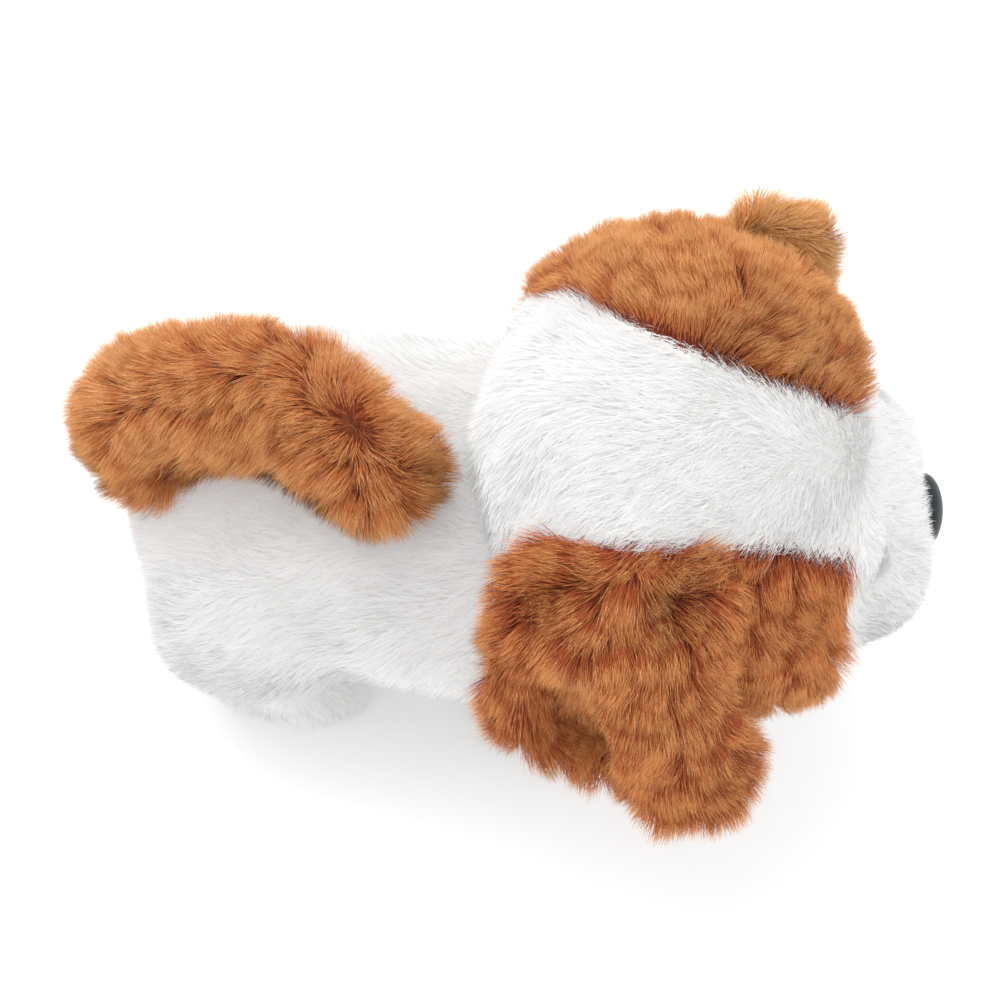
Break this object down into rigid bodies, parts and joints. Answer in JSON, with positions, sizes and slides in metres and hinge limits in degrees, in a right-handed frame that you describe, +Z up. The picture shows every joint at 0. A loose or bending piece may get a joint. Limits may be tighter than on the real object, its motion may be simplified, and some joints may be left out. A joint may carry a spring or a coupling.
{
  "type": "interactive plush pet",
  "caption": "Walking plush puppy with a motor, gear train and crank in a plastic casing that swings four legs, wags the tail and nods the head.",
  "frame": {"origin": "middle of the whole puppy on the ground under it", "axes": "+X to the nose, +Y to the puppy's left, +Z up"},
  "size_m": [0.2144, 0.1498, 0.149],
  "materials": {
    "white_plush": "long soft pile",
    "brown_plush": "long soft pile",
    "casing_plastic": "moulded",
    "gear_plastic": "moulded acetal",
    "black_gloss": "polished",
    "black_plastic": "moulded",
    "steel": "plain",
    "brass": "plain",
    "board_green": "solder mask",
    "cell_green": "plain printed sleeve",
    "red_wire": "wire cover",
    "foot_rubber": "short suede pad"
  },
  "bodies": {
    "casing": {"casing_left": "casing_plastic", "casing_right": "casing_plastic", "casing_screw_rear_top": "steel", "casing_screw_front_top": "steel", "casing_screw_rear_bottom": "steel", "battery_cover": "casing_plastic", "battery_cover_screw": "steel", "battery_left": "cell_green", "battery_right": "cell_green", "battery_contact_front": "steel", "battery_contact_rear": "steel", "motor": "steel", "circuit_board": "board_green", "speaker": "black_plastic", "motor_lead_red": "red_wire", "motor_lead_black": "black_plastic", "switch_body": "black_plastic", "rear_hip_pin_left": "steel", "rear_hip_pin_right": "steel", "front_hip_pin_left": "steel", "front_hip_pin_right": "steel", "first_gear_axle": "steel", "second_gear_axle": "steel", "tail_pivot_pin": "steel", "neck_pin": "steel", "body_plush": "white_plush"},
    "crank": {"crank_shaft": "steel", "crank_gear": "gear_plastic", "crank_disc_left": "gear_plastic", "crank_disc_right": "gear_plastic", "tail_cam": "gear_plastic", "head_cam": "gear_plastic"},
    "pinion": {"motor_pinion": "brass"},
    "first_gear": {"first_gear": "gear_plastic"},
    "second_gear": {"second_gear": "gear_plastic"},
    "tail": {"tail_lever": "casing_plastic", "tail_plush": "brown_plush"},
    "head": {"head_frame": "casing_plastic", "head_plush": "white_plush", "nose": "black_gloss", "eye_left": "black_gloss", "eye_right": "black_gloss"},
    "push_rod": {"head_push_rod": "gear_plastic"},
    "ear_left": {"ear_left": "brown_plush"},
    "ear_right": {"ear_right": "brown_plush"},
    "switch": {"switch_knob": "black_plastic"},
    "rear_leg_left": {"rear_leg_frame_left": "casing_plastic", "rear_sole_left": "foot_rubber", "rear_leg_plush_left": "white_plush"},
    "front_leg_left": {"front_leg_frame_left": "casing_plastic", "front_sole_left": "foot_rubber", "front_leg_plush_left": "white_plush"},
    "link_left": {"side_link_left": "gear_plastic"},
    "rear_leg_right": {"rear_leg_frame_right": "casing_plastic", "rear_sole_right": "foot_rubber", "rear_leg_plush_right": "white_plush"},
    "front_leg_right": {"front_leg_frame_right": "casing_plastic", "front_sole_right": "foot_rubber", "front_leg_plush_right": "white_plush"},
    "link_right": {"side_link_right": "gear_plastic"}
  },
  "joints": [
    {"name": "crank_turn", "type": "hinge", "parent": "casing", "child": "crank", "pos_m": [-0.05328, 0, 0.059], "axis": [0, 1, 0], "range_deg": [-50, 50]},
    {"name": "second_gear_turn", "type": "hinge", "parent": "casing", "child": "second_gear", "pos_m": [-0.04271, 0, 0.05577], "axis": [0, 1, 0], "range_deg": [-170.02, 170.02]},
    {"name": "first_gear_turn", "type": "hinge", "parent": "casing", "child": "first_gear", "pos_m": [-0.03983, 0, 0.0451], "axis": [0, 1, 0], "range_deg": [-578.02, 578.02]},
    {"name": "pinion_turn", "type": "hinge", "parent": "casing", "child": "pinion", "pos_m": [-0.05028, 0, 0.0415], "axis": [0, 1, 0], "range_deg": [-1965.22, 1965.22]},
    {"name": "rear_leg_left_swing", "type": "hinge", "parent": "casing", "child": "rear_leg_left", "pos_m": [-0.05328, 0.025, 0.039], "axis": [0, 1, 0], "range_deg": [-7.17, 7.17]},
    {"name": "front_leg_left_swing", "type": "hinge", "parent": "casing", "child": "front_leg_left", "pos_m": [0.01672, 0.025, 0.039], "axis": [0, 1, 0], "range_deg": [-7.17, 7.17]},
    {"name": "link_left_pivot", "type": "hinge", "parent": "rear_leg_left", "child": "link_left", "pos_m": [-0.05328, 0.026, 0.048], "axis": [0, 1, 0], "range_deg": [-7.17, 7.17]},
    {"name": "rear_leg_right_swing", "type": "hinge", "parent": "casing", "child": "rear_leg_right", "pos_m": [-0.05328, -0.025, 0.039], "axis": [0, 1, 0], "range_deg": [-9.12, 9.12]},
    {"name": "front_leg_right_swing", "type": "hinge", "parent": "casing", "child": "front_leg_right", "pos_m": [0.01672, -0.025, 0.039], "axis": [0, 1, 0], "range_deg": [-9.12, 9.12]},
    {"name": "link_right_pivot", "type": "hinge", "parent": "rear_leg_right", "child": "link_right", "pos_m": [-0.05328, -0.026, 0.048], "axis": [0, 1, 0], "range_deg": [-9.12, 9.12]},
    {"name": "tail_wag", "type": "hinge", "parent": "casing", "child": "tail", "pos_m": [-0.07428, 0, 0.059], "axis": [0, 0, 1], "range_deg": [-9.22, 9.22]},
    {"name": "head_nod", "type": "hinge", "parent": "casing", "child": "head", "pos_m": [0.02172, 0, 0.0678], "axis": [0, 1, 0], "range_deg": [-4.62, 4.62]},
    {"name": "push_rod_pivot", "type": "hinge", "parent": "crank", "child": "push_rod", "pos_m": [-0.05328, 0, 0.0598], "axis": [0, 1, 0], "range_deg": [-50.02, 50.02]},
    {"name": "ear_left_lift", "type": "hinge", "parent": "head", "child": "ear_left", "pos_m": [0.03672, 0.05, 0.126], "axis": [1, 0, 0], "range_deg": [0, 50]},
    {"name": "ear_right_lift", "type": "hinge", "parent": "head", "child": "ear_right", "pos_m": [0.03672, -0.05, 0.126], "axis": [-1, 0, 0], "range_deg": [0, 50]},
    {"name": "power_switch", "type": "slide", "parent": "casing", "child": "switch", "axis": [0, 1, 0], "range_m": [0, 0.0035]}
  ],
  "couplings": [
    {"joint": "second_gear_turn", "follows": "crank_turn", "ratio": -3.4},
    {"joint": "first_gear_turn", "follows": "crank_turn", "ratio": 11.56},
    {"joint": "pinion_turn", "follows": "crank_turn", "ratio": -39.304},
    {"joint": "rear_leg_left_swing", "follows": "crank_turn", "ratio": 0.143},
    {"joint": "front_leg_left_swing", "follows": "crank_turn", "ratio": 0.143},
    {"joint": "link_left_pivot", "follows": "crank_turn", "ratio": -0.143},
    {"joint": "rear_leg_right_swing", "follows": "crank_turn", "ratio": -0.182},
    {"joint": "front_leg_right_swing", "follows": "crank_turn", "ratio": -0.182},
    {"joint": "link_right_pivot", "follows": "crank_turn", "ratio": 0.182},
    {"joint": "tail_wag", "follows": "crank_turn", "ratio": 0.184},
    {"joint": "head_nod", "follows": "crank_turn", "ratio": -0.092},
    {"joint": "push_rod_pivot", "follows": "crank_turn", "ratio": -1}
  ]
}
